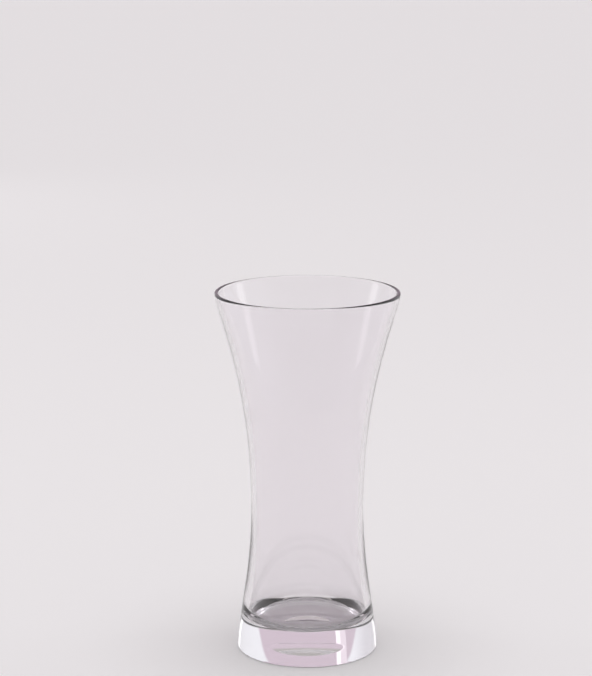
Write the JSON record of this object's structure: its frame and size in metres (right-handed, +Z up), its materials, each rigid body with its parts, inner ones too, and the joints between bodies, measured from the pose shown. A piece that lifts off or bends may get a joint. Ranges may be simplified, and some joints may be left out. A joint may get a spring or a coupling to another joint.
{
  "type": "flower vase",
  "caption": "Clear glass flower vase with a heavy solid base, a narrow waist and a wide flared mouth with a rounded lip, for holding water and cut stems.",
  "frame": {"origin": "centre of the ring on the underside that the vase stands on, on the vase's axis", "axes": "+Z up along the vase's axis, towards the mouth; the vase is round, so X and Y are any two level directions"},
  "size_m": [0.128, 0.128, 0.254],
  "materials": {
    "clear_glass": "clear soda-lime glass, fire-polished and smooth"
  },
  "bodies": {
    "root": {"vase_body": "clear_glass"}
  },
  "joints": []
}
